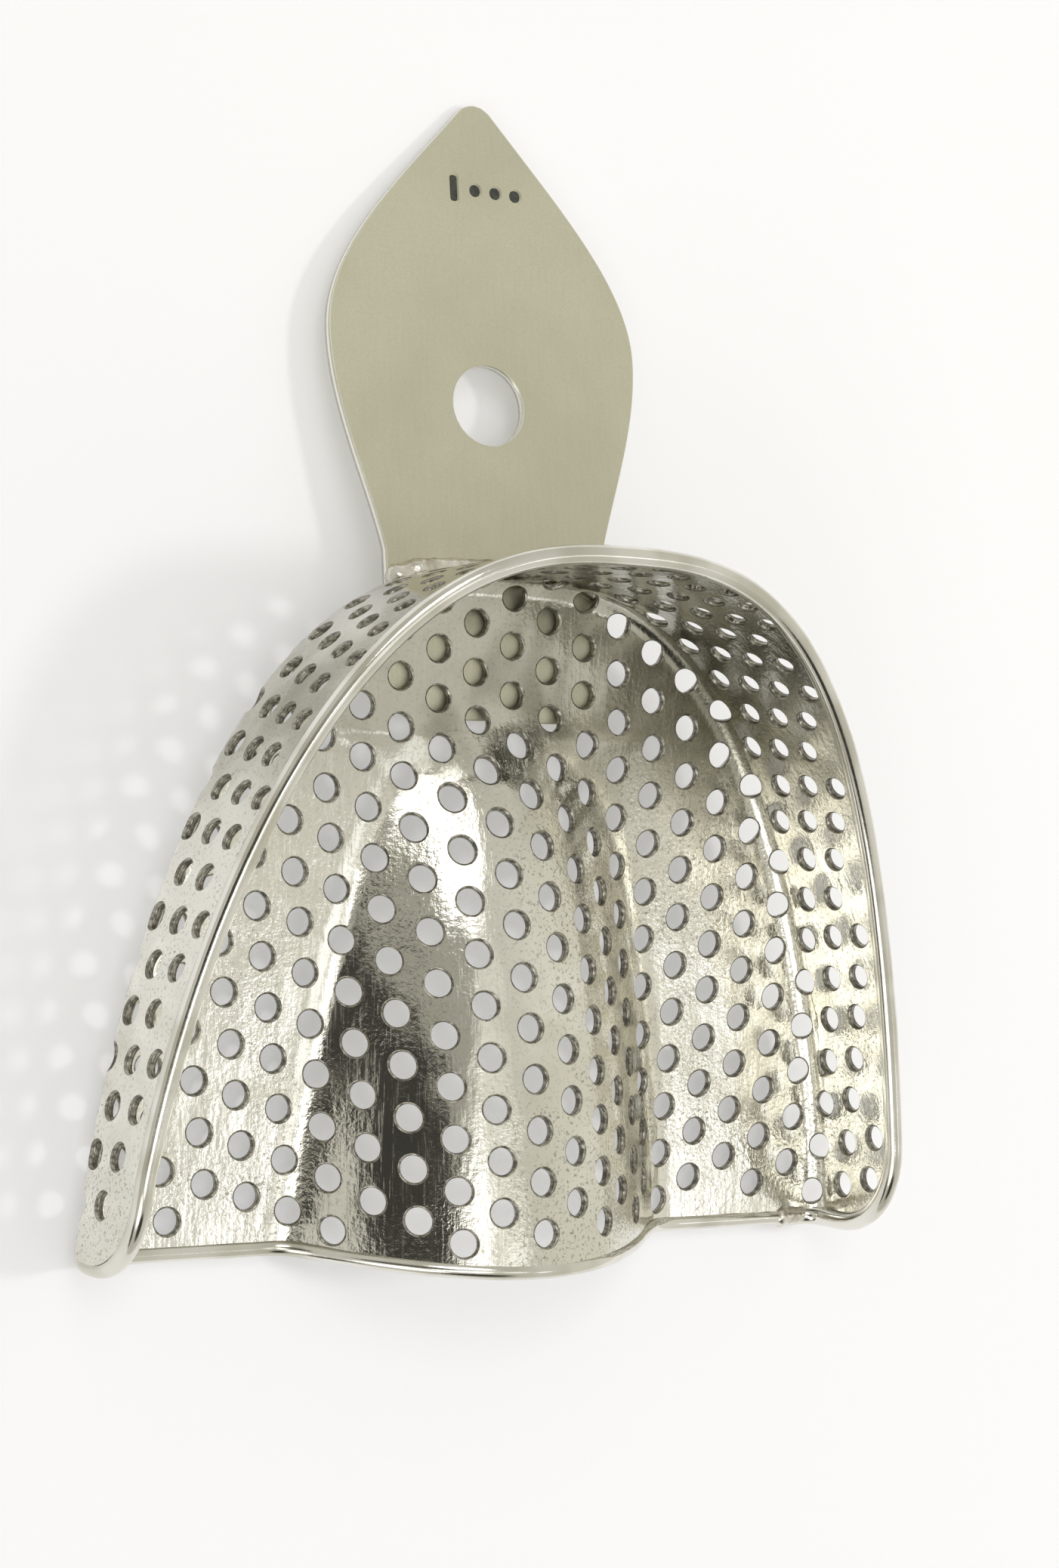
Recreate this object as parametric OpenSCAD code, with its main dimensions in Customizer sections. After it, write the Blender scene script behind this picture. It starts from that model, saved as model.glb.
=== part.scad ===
// Perforated upper impression tray with a flat leaf handle, lying trough up on a bench.
// Millimetres. +X is across the arch, +Y points along the handle, +Z is up from the bench.

/* [Arch] */

// Half width of the arch at the heels, at the middle of the wall sheet
arch_half_w = 35; // [33:0.5:37]
// Distance from the front of the arch back to its widest line
arch_depth = 57.6; // [56:0.2:60]
// Squareness of the sides of the arch, 2 is an ellipse
side_power = 2.7; // [2.4:0.1:3]
// Squareness of the front of the arch, 2 is an ellipse
front_power = 1.6; // [1.5:0.1:1.9]
// How far the front wall leans out from floor to rim
front_draft = 1.3; // [0.8:0.1:2]
// Distance from the front of the arch to the rear edge of the trough
rear_y = 54; // [52:0.5:55]
// Extra length of the palate part behind the trough
rear_bulge = 1; // [0.4:0.2:1.6]

/* [Wall] */

// Thickness of the pressed sheet
sheet_t = 0.7; // [0.6:0.05:0.9]
// Height of the rim wire above the trough underside at the front
rim_front_h = 17.8; // [16:0.2:20]
// Height of the rim wire half way back
rim_mid_h = 12.9; // [12:0.1:14]
// Height of the rim wire at the heels
rim_heel_h = 10.7; // [10:0.1:12]
// Outside radius of the bend between floor and wall
floor_bend_r = 2.2; // [1.8:0.1:2.6]
// Radius of the rounded upper heel corner
heel_corner_r = 7; // [6:0.5:7.5]

/* [Palate vault] */

// Height of the vault above the trough floor at the rear edge
vault_h = 10.2; // [8:0.2:12]
// Half width of the vault at the rear edge
vault_half_w = 16.8; // [15.5:0.1:18]
// Distance from the front of the arch to the front tip of the vault
vault_front = 15.3; // [14:0.1:17]

/* [Perforations] */

// Diameter of each perforation
hole_d = 2.1; // [1.8:0.1:2.3]
// Distance between perforations along a row
hole_pitch = 3.92; // [3.8:0.02:4.2]
// Distance between neighbouring staggered rows
row_gap = 3.46; // [3.36:0.02:3.7]
// Sideways lean of the rows, per perforation, left by the pressing
row_lean = 0.34; // [0:0.02:0.4]

/* [Rim and rear wires] */

// Diameter of the wire round the rim
rim_wire_d = 1.5; // [1.3:0.1:1.7]
// Diameter of the wire along the rear edge
rear_wire_d = 1.3; // [1.1:0.1:1.5]

/* [Handle] */

// Thickness of the handle plate
handle_t = 0.9; // [0.8:0.05:1.2]
// Length of the handle beyond the front of the arch
handle_len = 37.6; // [34:0.2:42]
// Width of the handle at its widest
handle_w = 28.7; // [26:0.1:32]
// Width of the handle where it leaves the arch
neck_w = 20.2; // [18:0.2:22]
// Downward bend of the handle
handle_bend = 10.5; // [8:0.5:12]
// Length of the tongue under the trough floor, from the front of the arch
tongue_len = 13; // [11:0.5:14.5]
// Radius of the hanging hole
hang_hole_r = 3.3; // [3:0.1:4]
// Distance of the hanging hole beyond the front of the arch
hang_hole_y = 12.6; // [11:0.1:15]

/* [Hidden] */

steps = 26;
vault_rows = 13;
vault_cols = 9;
wire_sides = 10;
wire_r = rim_wire_d / 2;
rear_r = rear_wire_d / 2;
hole_r = hole_d / 2;
half_t = sheet_t / 2;
bend_y = -6;
mid_row = 6;
pattern_x = 2.14;
pattern_y = -26.5;
row_curl = 0.0031;
row_pinch = 0.0034;
row_tilt = 0.186;
row_bow = 0.0368;
bend_in = floor_bend_r - half_t;
bend_len = bend_in * PI / 2;
heel_y = rear_y - heel_corner_r;
body_w = 3 * arch_half_w;

// The tray rests on its heels and on the tip of the handle
tip_y = handle_len * cos(handle_bend) + bend_y * (1 - cos(handle_bend));
tip_drop = (tip_y - bend_y) * tan(handle_bend) + handle_t * cos(handle_bend);
solder_r = wire_r + 0.15;
heel_drop = solder_r - half_t;
rest_tilt = atan2(tip_drop - heel_drop, tip_y + rear_y);
rest_y = (rear_y + rear_bulge + rear_r - tip_y
          + (vault_h + half_t - tip_drop) * tan(rest_tilt)) / 2;
rest_z = (rear_y - rest_y) * sin(rest_tilt) + heel_drop * cos(rest_tilt);

steel = [0.78, 0.78, 0.76];
satin = [0.68, 0.66, 0.57];
brass = [0.72, 0.68, 0.56];

function pow_abs(v, p) = pow(abs(v), p);
function cap(v, low, high) = min(max(v, low), high);

// Height of the rim wire at a distance behind the front
function rim_h(y) =
    let (t = (y + 25) / 25)
    rim_mid_h + (rim_front_h - rim_heel_h) / 2 * t
    + ((rim_front_h + rim_heel_h) / 2 - rim_mid_h) * t * t;

// Scale of the arch in Y at a height above the floor
function lean(y, z) = 1 - front_draft / arch_depth * (1 - z / rim_h(y));

// Outward direction of the arch wall at a point
function wall_dir(x, y) =
    let (gx = side_power / arch_half_w * pow_abs(x / arch_half_w, side_power - 1),
         gy = front_power / arch_depth
              * pow(max(0, (y + arch_depth) / arch_depth), front_power - 1),
         g = norm([gx, gy]))
    [sign(x) * gx / g, gy / g];

// Point on the arch for a step from -steps (left heel) to steps (right heel)
function arch_point(i) =
    let (a = 90 * pow_abs(i / steps, 1.3))
    [sign(i) * arch_half_w * pow(sin(a), 2 / side_power),
     arch_depth * (pow(cos(a), 2 / front_power) - 1)];

// Wall point at a step, height and offset from the middle of the sheet
function wall_point(i, z, off) =
    let (p = arch_point(i),
         d = abs(i) == steps ? [sign(i), 0] : wall_dir(p[0], p[1]),
         k = lean(p[1], z))
    [p[0] + off * d[0], (p[1] + arch_depth) * k - arch_depth + off * d[1], z];

// Outline rings of the cup, from the floor up to the rim
function cup_ring(z, off, top, tail) =
    concat([[-arch_half_w + min(0, -off), -arch_depth - tail, z]],
           [for (i = [-steps : steps])
               wall_point(i, top ? rim_h(arch_point(i)[1]) + z : z, off)],
           [[arch_half_w - min(0, -off), -arch_depth - tail, z]]);

// Solid inside of the cup with a rounded lower edge
module cup(off, floor_z, r, over, tail) {
    bends = 4;
    rings = concat(
        [for (k = [0 : bends])
            let (a = 90 * k / bends)
            cup_ring(floor_z + r * (1 - cos(a)), off - r * (1 - sin(a)), false, tail)],
        [cup_ring(over, off, true, tail)]);
    n = len(rings[0]);
    levels = len(rings);
    flat_tops = [for (k = [0 : levels - 1])
                    [for (p = rings[k]) k == levels - 1 && p[1] < -arch_depth - 0.001
                        ? [p[0], p[1], rim_h(-arch_depth) + over] : p]];
    points = [for (ring = flat_tops) for (p = ring) p];
    sides = [for (k = [0 : levels - 2]) for (i = [0 : n - 1])
                let (a = k * n + i, b = k * n + (i + 1) % n)
                each [[a, b, a + n], [b, b + n, a + n]]];
    half = floor(n / 2);
    floor_cap = [for (i = [0 : half - 2])
                    each [[i, n - 1 - i, i + 1], [i + 1, n - 1 - i, n - 2 - i]]];
    mid_cap = [[half - 1, n - half, half]];
    top_0 = (levels - 1) * n;
    caps = concat(floor_cap, mid_cap);
    top_caps = [for (f = caps) [top_0 + f[0], top_0 + f[2], top_0 + f[1]]];
    polyhedron(points, concat(sides, caps, top_caps), convexity = 8);
}

// Size of the vault at a distance behind the front
function vault_t(y) = cap((-vault_front - y) / (rear_y - vault_front), 0, 1.4);
function vault_w(y) = vault_half_w * pow(vault_t(y), 0.28);
function vault_z(y) = vault_h * pow(vault_t(y), 0.5);

// Solid below the vault, shrunk by an inset and let down to a base
module vault(inset, rise, base_z) {
    rows = [for (j = [0 : vault_rows])
               let (v = 0.03 + 1.02 * j / vault_rows)
               -vault_front - (rear_y + 2 - vault_front) * v * v];
    n = 2 * vault_cols + 1;
    top = [for (y = rows) for (i = [-vault_cols : vault_cols])
              let (u = i / vault_cols)
              [u * max(0.4, vault_w(y) - inset), y, rise + vault_z(y) * (1 - u * u)]];
    low = [for (p = top) [p[0], p[1], base_z]];
    m = len(top);
    function id(j, i) = j * n + i;
    skin = [for (j = [0 : vault_rows - 1]) for (i = [0 : n - 2])
               each [[id(j, i), id(j, i + 1), id(j + 1, i)],
                     [id(j, i + 1), id(j + 1, i + 1), id(j + 1, i)]]];
    under = [for (f = skin) [m + f[0], m + f[2], m + f[1]]];
    ends = [for (i = [0 : n - 2])
               each [[id(0, i), m + id(0, i), id(0, i + 1)],
                     [id(0, i + 1), m + id(0, i), m + id(0, i + 1)],
                     [id(vault_rows, i), id(vault_rows, i + 1), m + id(vault_rows, i)],
                     [id(vault_rows, i + 1), m + id(vault_rows, i + 1),
                      m + id(vault_rows, i)]]];
    flanks = [for (j = [0 : vault_rows - 1])
                 each [[id(j, 0), id(j + 1, 0), m + id(j, 0)],
                       [id(j + 1, 0), m + id(j + 1, 0), m + id(j, 0)],
                       [id(j, n - 1), m + id(j, n - 1), id(j + 1, n - 1)],
                       [id(j + 1, n - 1), m + id(j, n - 1), m + id(j + 1, n - 1)]]];
    polyhedron(concat(top, low), concat(skin, under, ends, flanks), convexity = 8);
}

// Rear edge of the sheet, as seen from above
function rear_edge(x) =
    -rear_y - rear_bulge * max(0, 1 - pow(x / vault_half_w, 2));

// Everything behind the rear edge, moved forward by a gap
module behind_rear(gap) {
    n = 14;
    edge = [for (i = [-n : n]) let (x = vault_half_w * i / n) [x, rear_edge(x) + gap]];
    translate([0, 0, -20])
        linear_extrude(height = 60)
            polygon(concat([[-body_w, -2 * rear_y], [-body_w, -rear_y + gap]], edge,
                           [[body_w, -rear_y + gap], [body_w, -2 * rear_y]]));
}

// Everything outside the rounded heel corners, moved inward by a gap
module behind_heels(gap) {
    r = heel_corner_r - gap;
    top = rim_h(-heel_y);
    for (side = [-1, 1])
        translate([side * (arch_half_w - 1), -heel_y, top - heel_corner_r])
            rotate([90, 0, 90])
                translate([0, 0, -4]) {
                    difference() {
                        translate([-2 * r, 0, 0])
                            cube([2 * r, 2 * r, 8]);
                        cylinder(h = 30, r = r, center = true, $fn = 48);
                    }
                }
}

// Arc length across the vault from its middle, and the point at that length
function vault_arc(x, b) = x / 2 * sqrt(1 + b * b * x * x)
    + ln(b * x + sqrt(1 + b * b * x * x)) / (2 * b);
function arc_x(s, b, x, n) = n == 0 ? x
    : arc_x(s, b, x - (vault_arc(x, b) - s) / sqrt(1 + b * b * x * x), n - 1);

// How far the arch is passed by a point seen from above
function arch_k(p) =
    pow(pow_abs(p[0] / arch_half_w, side_power)
        + pow(max(0.0001, (p[1] + arch_depth) / (arch_depth - front_draft)), front_power),
        -2 / (side_power + front_power));
function to_arch(p) =
    let (k = arch_k(p))
    [p[0] * k, (p[1] + arch_depth) * k - arch_depth];

// Place of one perforation of the flat sheet on the pressed tray: point, direction
function hole_place(i, j) =
    let (m = j + (abs(i) % 2) / 2 - mid_row,
         near = cap(m, -mid_row, mid_row),
         u1 = pattern_x + row_gap * i + row_lean * m
              - row_curl * pow(near, 3) - row_pinch * i * near * near,
         u = abs(u1),
         y = pattern_y + row_tilt * i - hole_pitch * m - row_bow * i * i,
         w = max(0.01, vault_w(y)),
         b = max(0.001, 2 * vault_z(y) / (w * w)),
         full = vault_arc(w, b),
         on_vault = vault_t(y) > 0 && u < full,
         x = on_vault ? arc_x(u, b, u * w / full, 5) : vault_t(y) > 0 ? u - full + w : u,
         side = sign(u1),
         slope = b * x,
         c = norm([1, slope]),
         foot = to_arch([x, y]),
         d = wall_dir(foot[0] + 0.0001, foot[1]),
         past = (x - foot[0]) * d[0] + (y - foot[1]) * d[1],
         base = to_arch([x - past * d[0], y - past * d[1]]),
         run = past + bend_in,
         a = cap(run / bend_in, 0, PI / 2) * 180 / PI,
         up = max(0, run - bend_len),
         z = half_t + bend_in * (1 - cos(a)) + up,
         k = lean(base[1], z) / lean(base[1], 0),
         off = bend_in * (sin(a) - 1))
    on_vault ? [side * x, y, half_t + vault_z(y) - slope * x / 2, side * slope / c, 0, 1 / c]
    : run <= 0 ? [side * x, y, half_t, 0, 0, 1]
    : [side * (base[0] + off * d[0]), (base[1] + arch_depth) * k - arch_depth + off * d[1],
       z, side * d[0] * sin(a), d[1] * sin(a), -cos(a)];

// Room for a perforation: clear of the rim, the rear edge and the heel corners
function hole_fits(p) =
    let (top = rim_h(p[1]) - wire_r - hole_r - 0.7,
         dy = -heel_y - p[1],
         dz = p[2] - rim_h(-heel_y) + heel_corner_r)
    (abs(p[5]) > 0.1 || p[2] < top)
    && p[1] - rear_edge(p[0]) > rear_r + hole_r + 0.3
    && (dy < 0 || dz < 0 || abs(p[0]) < arch_half_w - 4
        || norm([dy, dz]) < heel_corner_r - hole_r - wire_r - 0.5);

module perforations() {
    for (i = [-16 : 15], j = [-7 : 14]) {
        p = hole_place(i, j);
        if (hole_fits(p))
            translate([p[0], p[1], p[2]])
                rotate([0, acos(p[5]), atan2(p[4], p[3])])
                    cylinder(h = 4 * sheet_t, r = hole_r, center = true, $fn = 20);
    }
}

module shell_blank() {
    difference() {
        union() {
            difference() {
                cup(half_t, 0, floor_bend_r, -wire_r, 1);
                cup(-half_t, sheet_t, floor_bend_r - sheet_t, 4, 6);
            }
            vault(0, sheet_t, sheet_t / 3);
        }
        vault(sheet_t * 0.95, 0, -3);
        behind_rear(max(rear_r, wire_r));
        behind_heels(wire_r);
    }
}

// Lying pose of everything drawn in the tray's own frame
module lying() {
    translate([0, 0, rest_z])
        rotate([rest_tilt, 0, 0])
            translate([0, rest_y, 0])
                children();
}

// Tube along a path, flat at both ends
module tube(path, r) {
    n = len(path);
    rings = [for (i = [0 : n - 1])
        let (t = path[min(i + 1, n - 1)] - path[max(i - 1, 0)],
             d = t / norm(t),
             s0 = abs(d[2]) > 0.9 ? cross(d, [0, 1, 0]) : cross(d, [0, 0, 1]),
             s = s0 / norm(s0),
             w = cross(s, d))
        [for (k = [0 : wire_sides - 1])
            let (a = 360 * k / wire_sides)
            path[i] + r * (cos(a) * s + sin(a) * w)]];
    m = wire_sides;
    points = concat([for (ring = rings) for (p = ring) p], [path[0], path[n - 1]]);
    skin = [for (i = [0 : n - 2]) for (k = [0 : m - 1])
               let (a = i * m + k, b = i * m + (k + 1) % m)
               each [[a, b, a + m], [b, b + m, a + m]]];
    ends = [for (k = [0 : m - 1])
               let (a = (n - 1) * m)
               each [[(k + 1) % m, k, n * m], [a + k, a + (k + 1) % m, n * m + 1]]];
    polyhedron(points, concat(skin, ends), convexity = 8);
}

module tray_shell() {
    color(steel)
        lying()
            difference() {
                shell_blank();
                perforations();
            }
}

// Middle line of the rim wire: up one heel, round the rim and down the other heel
function rim_line() =
    let (arch = [for (i = [-steps : steps])
                    let (p = arch_point(i))
                    if (p[1] > -heel_y + 0.8) [p[0], p[1], rim_h(p[1])]],
         top = rim_h(-heel_y),
         x_at = arch_half_w * pow(1 - pow((arch_depth - heel_y) / arch_depth, front_power),
                                  1 / side_power),
         heel = [for (a = [0 : 15 : 90])
                    [x_at + 0.3 * sin(a), -heel_y - heel_corner_r * sin(a),
                     top - heel_corner_r * (1 - cos(a))]],
         foot = [for (a = [15 : 15 : 90])
                    [x_at + 0.3 - bend_in * (1 - cos(a)), -rear_y,
                     half_t + bend_in * (1 - sin(a))]])
    concat([for (k = [len(foot) - 1 : -1 : 0]) [-foot[k][0], foot[k][1], foot[k][2]]],
           [for (k = [len(heel) - 1 : -1 : 0]) [-heel[k][0], heel[k][1], heel[k][2]]],
           arch, heel, foot);

module rim_wire() {
    color(steel)
        lying()
            tube(rim_line(), wire_r);
}

// Middle line of the rear wire: over both trough floors and the vault
function rear_line() =
    let (n = 16,
         reach = rim_line()[0][0],
         vault_part = [for (i = [-n : n])
             let (u = i / n, x = u * vault_half_w)
             [x, rear_edge(x), half_t + vault_z(-rear_y) * (1 - u * u)]])
    concat([[reach, -rear_y, half_t]], vault_part, [[-reach, -rear_y, half_t]]);

module rear_wire() {
    color(steel)
        lying()
            tube(rear_line(), rear_r);
}

// Outline of the handle from above: two curves and a round tip on each side
function curve(a, b, c, d, t) =
    a * pow(1 - t, 3) + 3 * b * t * pow(1 - t, 2) + 3 * c * t * t * (1 - t) + d * pow(t, 3);
module handle_outline() {
    w = handle_w / 2;
    neck = neck_w / 2;
    l = handle_len - bend_y;
    wide = 17.5 - bend_y;
    corner = 4;
    n = 9;
    side = concat(
        [for (a = [0 : 15 : 90])
            [neck - corner * (1 - sin(a)),
             -tongue_len - bend_y + corner * (1 - cos(a))]],
        [for (i = [0 : n])
            curve([neck, -bend_y + 0.3], [neck + 1.2, 5.5 - bend_y],
                  [w, 11.5 - bend_y], [w, wide], i / n)],
        [for (i = [1 : n])
            curve([w, wide], [w, wide + 6.5], [w * 0.54, l - 7.6],
                  [1.35, l - 0.55], i / n)]);
    polygon(concat(side, [[0, l]],
                   [for (i = [len(side) - 1 : -1 : 0]) [-side[i][0], side[i][1]]]));
}

// Side view of the handle sheet: flat tongue, one bend down, flat blade
module handle_profile() {
    mitre = handle_t * tan(handle_bend / 2);
    reach = handle_len + 10;
    along = [cos(handle_bend), -sin(handle_bend)];
    below = [-sin(handle_bend), -cos(handle_bend)];
    polygon([[-tongue_len - 2, 0], [bend_y, 0],
             [bend_y, 0] + reach * along,
             [bend_y, 0] + reach * along + handle_t * below,
             [bend_y - mitre, -handle_t],
             [-tongue_len - 2, -handle_t]]);
}

module handle_plate() {
    color(satin)
        lying()
            difference() {
                intersection() {
                    rotate([90, 0, 90])
                        translate([0, 0, -handle_w])
                            linear_extrude(height = 2 * handle_w)
                                handle_profile();
                    translate([0, bend_y, -handle_len])
                        linear_extrude(height = handle_len + 5)
                            scale([1, cos(handle_bend)])
                                handle_outline();
                }
                translate([0, bend_y, 0])
                    rotate([-handle_bend, 0, 0])
                        translate([0, hang_hole_y - bend_y, -handle_t / 2])
                            cylinder(h = 3 * handle_t, r = hang_hole_r, center = true,
                                     $fn = 64);
            }
}

// Bead of braze in the corner between the front wall and the handle
module handle_braze() {
    n = 8;
    reach = neck_w / 2 - 0.6;
    path = [for (i = [-n : n])
        let (x = reach * i / n,
             y = (arch_depth - front_draft)
                 * pow(1 - pow_abs(x / arch_half_w, side_power), 1 / front_power) - arch_depth)
        [x, y + 0.2, 0.25]];
    color(brass)
        lying()
            difference() {
                tube(path, 1.15);
                cup(half_t, 0, floor_bend_r, 1, 1);
                translate([-arch_half_w, bend_y, 0])
                    rotate([-handle_bend, 0, 0])
                        translate([0, 0, -6])
                            cube([body_w, 20, 6]);
            }
}

// Solder collar over the joint of the rim wire and the rear wire at a heel
module heel_solder(side) {
    joint = rear_line()[0];
    color(brass)
        lying()
            difference() {
                translate([side * (abs(joint[0]) - 0.9), joint[1], joint[2]])
                    rotate([0, 90, 0])
                        difference() {
                            cylinder(h = 1.7, r = solder_r, center = true, $fn = 48);
                            cylinder(h = 3, r = wire_r + 0.01, center = true, $fn = 48);
                        }
                translate([-body_w / 2, -rear_y + wire_r, -10])
                    cube([body_w, 20, 20]);
            }
}

module heel_solder_left() {
    heel_solder(-1);
}

module heel_solder_right() {
    heel_solder(1);
}

tray_shell();
rim_wire();
rear_wire();
handle_plate();
handle_braze();
heel_solder_left();
heel_solder_right();
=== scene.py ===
"""Looks of a perforated steel impression tray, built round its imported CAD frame.

Everything is worked out in the tray's own frame in millimetres (x across the arch,
y = 0 at the front of the arch, y negative towards the heels, z up from the trough
underside) and then laid down on the bench in the row frame in metres.
"""
import math

import bpy
import numpy as np
from mathutils import Matrix, Vector
from mathutils.geometry import delaunay_2d_cdt


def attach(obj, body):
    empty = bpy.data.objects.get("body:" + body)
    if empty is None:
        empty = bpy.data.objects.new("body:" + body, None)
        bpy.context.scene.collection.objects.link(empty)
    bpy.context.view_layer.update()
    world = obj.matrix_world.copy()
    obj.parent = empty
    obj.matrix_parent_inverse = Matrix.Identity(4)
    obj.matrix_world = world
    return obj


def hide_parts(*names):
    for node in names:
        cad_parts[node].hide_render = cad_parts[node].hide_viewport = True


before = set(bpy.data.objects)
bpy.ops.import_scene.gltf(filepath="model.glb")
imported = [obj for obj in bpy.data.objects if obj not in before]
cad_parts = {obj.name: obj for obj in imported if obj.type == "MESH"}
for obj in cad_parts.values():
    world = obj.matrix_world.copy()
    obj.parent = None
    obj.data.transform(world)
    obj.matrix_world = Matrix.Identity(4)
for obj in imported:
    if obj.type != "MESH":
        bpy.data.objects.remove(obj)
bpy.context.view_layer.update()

# ---------------------------------------------------------------- tray dimensions, mm
ARCH_HALF_W = 35.0
ARCH_DEPTH = 57.6
SIDE_POWER = 2.7
FRONT_POWER = 1.6
FRONT_DRAFT = 1.3
REAR_Y = 54.0
REAR_BULGE = 1.0
SHEET_T = 0.7
RIM_FRONT_H = 17.8
RIM_MID_H = 12.9
RIM_HEEL_H = 10.7
BEND_R = 2.2
HEEL_R = 7.0
VAULT_H = 10.2
VAULT_HALF_W = 16.8
VAULT_FRONT = 15.3
HOLE_R = 1.05
RIM_WIRE_R = 0.75
REAR_WIRE_R = 0.65
HANDLE_T = 0.9
HANDLE_LEN = 37.6
HANDLE_W = 28.7
NECK_W = 20.2
HANDLE_BEND = math.radians(10.5)
TONGUE_LEN = 13.0
HANG_R = 3.3
HANG_Y = 12.6
BEND_Y = -6.0
SOLDER_SKIN = 0.15

HALF_T = SHEET_T / 2
BEND_IN = BEND_R - HALF_T
BEND_LEN = BEND_IN * math.pi / 2
HEEL_Y = REAR_Y - HEEL_R

# The tray rests on its heels and on the tip of the handle
TIP_Y = HANDLE_LEN * math.cos(HANDLE_BEND) + BEND_Y * (1 - math.cos(HANDLE_BEND))
TIP_DROP = (TIP_Y - BEND_Y) * math.tan(HANDLE_BEND) + HANDLE_T * math.cos(HANDLE_BEND)
HEEL_DROP = RIM_WIRE_R + SOLDER_SKIN - HALF_T
TILT = math.atan2(TIP_DROP - HEEL_DROP, TIP_Y + REAR_Y)
REST_Y = (REAR_Y + REAR_BULGE + REAR_WIRE_R - TIP_Y
          + (VAULT_H + HALF_T - TIP_DROP) * math.tan(TILT)) / 2
REST_Z = (REAR_Y - REST_Y) * math.sin(TILT) + HEEL_DROP * math.cos(TILT)


CHUNK = 3000  # points compared at once, to keep the distance tables small
TINY = 1e-9


def lying(points):
    """Points of the tray's own frame in millimetres, as row frame points in metres."""
    p = np.asarray(points, float)
    c, s = math.cos(TILT), math.sin(TILT)
    y = p[:, 1] + REST_Y
    return np.column_stack([p[:, 0], y * c - p[:, 2] * s, y * s + p[:, 2] * c + REST_Z]) / 1000


def turned(directions):
    """Directions of the tray's own frame in the row frame."""
    d = np.asarray(directions, float)
    c, s = math.cos(TILT), math.sin(TILT)
    out = np.column_stack([d[:, 0], d[:, 1] * c - d[:, 2] * s, d[:, 1] * s + d[:, 2] * c])
    return out / np.maximum(np.linalg.norm(out, axis=1), TINY)[:, None]


def make_piece(name, points, faces, normals, material, replaces):
    """A mesh piece from tray-frame points, riding on the one body."""
    mesh = bpy.data.meshes.new(name)
    mesh.from_pydata([tuple(p) for p in lying(points)], [], [tuple(map(int, f)) for f in faces])
    mesh.update()
    mesh.shade_smooth()
    if normals is not None:
        mesh.normals_split_custom_set_from_vertices([tuple(n) for n in turned(normals)])
    obj = bpy.data.objects.new(name, mesh)
    bpy.context.scene.collection.objects.link(obj)
    mesh.materials.append(material)
    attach(obj, "root")
    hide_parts(replaces)
    return obj


# ---------------------------------------------------------------- arch and vault surfaces
RIM_MID_Y = -25.0
VAULT_FILLET = 3.6
VAULT_KNEE = 0.05
VAULT_SPREAD = 0.56


def rim_h(y):
    """Height of the rim: a parabola through its front, middle and heel heights."""
    t = 1 - y / RIM_MID_Y
    return (RIM_MID_H + (RIM_FRONT_H - RIM_HEEL_H) / 2 * t
            + ((RIM_FRONT_H + RIM_HEEL_H) / 2 - RIM_MID_H) * t * t)


def arch_curve(count):
    """Points of the arch at rim level and its outward directions, left heel to right."""
    i = np.linspace(-1, 1, 2 * count + 1)
    a = math.pi / 2 * np.abs(i) ** 1.3
    x = np.sign(i) * ARCH_HALF_W * np.sin(a) ** (2 / SIDE_POWER)
    y = ARCH_DEPTH * (np.maximum(np.cos(a), 0) ** (2 / FRONT_POWER) - 1)
    gx = np.sign(x) * SIDE_POWER / ARCH_HALF_W * np.abs(x / ARCH_HALF_W) ** (SIDE_POWER - 1)
    gy = FRONT_POWER / ARCH_DEPTH * np.maximum((y + ARCH_DEPTH) / ARCH_DEPTH, 0) ** (FRONT_POWER - 1)
    g = np.hypot(gx, gy)
    return np.column_stack([x, y]), np.column_stack([gx / g, gy / g])


ARCH, ARCH_OUT = arch_curve(700)
FOOT_LEAN = 1 - FRONT_DRAFT / ARCH_DEPTH
ARCH_FOOT = np.column_stack([ARCH[:, 0], (ARCH[:, 1] + ARCH_DEPTH) * FOOT_LEAN - ARCH_DEPTH])


def vault_z(x, y):
    """Height of the palate vault above the trough floor, with filleted edges."""
    t = (-VAULT_FRONT - y) / (REAR_Y - VAULT_FRONT)
    start = math.sqrt(VAULT_KNEE)
    root = np.where(t > VAULT_KNEE, np.sqrt(np.maximum(t, VAULT_KNEE)),
                    start + (t - VAULT_KNEE) / (2 * start))
    wide = np.maximum(t, VAULT_KNEE) ** VAULT_SPREAD
    f = VAULT_H * (root - root.clip(VAULT_KNEE) * x * x / (VAULT_HALF_W ** 2 * wide))
    h = np.clip(VAULT_FILLET - np.abs(f), 0, None) / VAULT_FILLET
    return np.maximum(f, 0) + h ** 3 * VAULT_FILLET / 6


def across_table():
    """For rows of y: sideways positions against the flat sheet's own width."""
    rows = np.arange(-60.0, 40.1, 0.5)
    xs = np.linspace(0, 70, 1401)
    table = []
    for y in rows:
        z = vault_z(xs, np.full_like(xs, y))
        run = np.concatenate([[0], np.cumsum(np.hypot(np.diff(xs), np.diff(z)))])
        table.append(np.interp(xs, run, xs))
    return rows, xs, np.array(table)


ROWS, WIDTHS, ACROSS = across_table()


def sideways(u, v):
    """Sideways position of a flat sheet point once the vault is pressed up."""
    r = np.clip((v - ROWS[0]) / (ROWS[1] - ROWS[0]), 0, len(ROWS) - 1.001)
    c = np.clip(np.abs(u) / (WIDTHS[1] - WIDTHS[0]), 0, len(WIDTHS) - 1.001)
    r0, c0 = r.astype(int), c.astype(int)
    fr, fc = r - r0, c - c0
    low = ACROSS[r0, c0] * (1 - fc) + ACROSS[r0, c0 + 1] * fc
    high = ACROSS[r0 + 1, c0] * (1 - fc) + ACROSS[r0 + 1, c0 + 1] * fc
    return np.sign(u) * (low * (1 - fr) + high * fr)


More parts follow.
